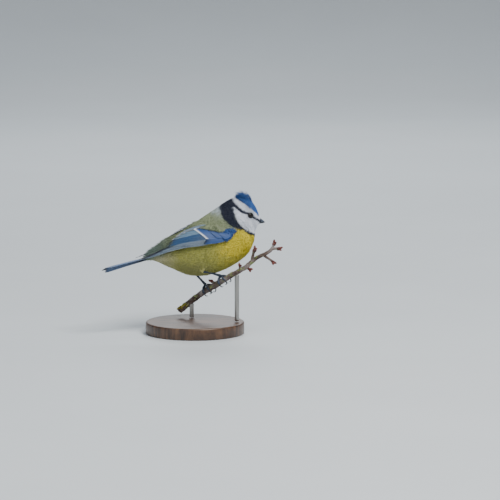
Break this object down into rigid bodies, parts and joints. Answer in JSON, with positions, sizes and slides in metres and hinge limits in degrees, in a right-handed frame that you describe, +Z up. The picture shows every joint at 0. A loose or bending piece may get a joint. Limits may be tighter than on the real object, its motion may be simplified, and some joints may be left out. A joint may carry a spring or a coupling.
{
  "type": "life-size blue tit model",
  "caption": "Still life-size model of a blue tit that grips a short cut twig with both feet, held by a round display base with rods.",
  "frame": {"origin": "centre of the display base's underside", "axes": "+X forward, from the tail towards the bill; +Y to the bird's left; +Z up; the base's underside is at Z = 0"},
  "size_m": [0.1169, 0.066, 0.0928],
  "materials": {
    "plumage_yellow": "soft matte feathers",
    "plumage_green": "soft matte feathers",
    "plumage_white": "soft matte feathers with a blue cap and dark bands",
    "plumage_blue": "smooth flight feathers with a slight sheen",
    "horn": "dark horn",
    "eye": "wet gloss",
    "leg_skin": "scaly, slightly waxy",
    "bark": "rough bark with lichen and buds",
    "stand_wood": "dark satin",
    "stand_metal": "brushed"
  },
  "bodies": {
    "root": {"torso": "plumage_yellow", "neck": "plumage_green", "head": "plumage_white", "bill_upper": "horn", "bill_lower": "horn", "eye_left": "eye", "eye_right": "eye", "wing_right": "plumage_blue", "wing_left": "plumage_blue", "tail": "plumage_blue", "leg_right": "leg_skin", "leg_left": "leg_skin", "claw_right_1": "horn", "claw_right_2": "horn", "claw_right_3": "horn", "claw_right_4": "horn", "claw_left_1": "horn", "claw_left_2": "horn", "claw_left_3": "horn", "claw_left_4": "horn", "perch": "bark", "stand_base": "stand_wood", "stand_rod_1": "stand_metal", "stand_rod_2": "stand_metal"}
  },
  "joints": []
}
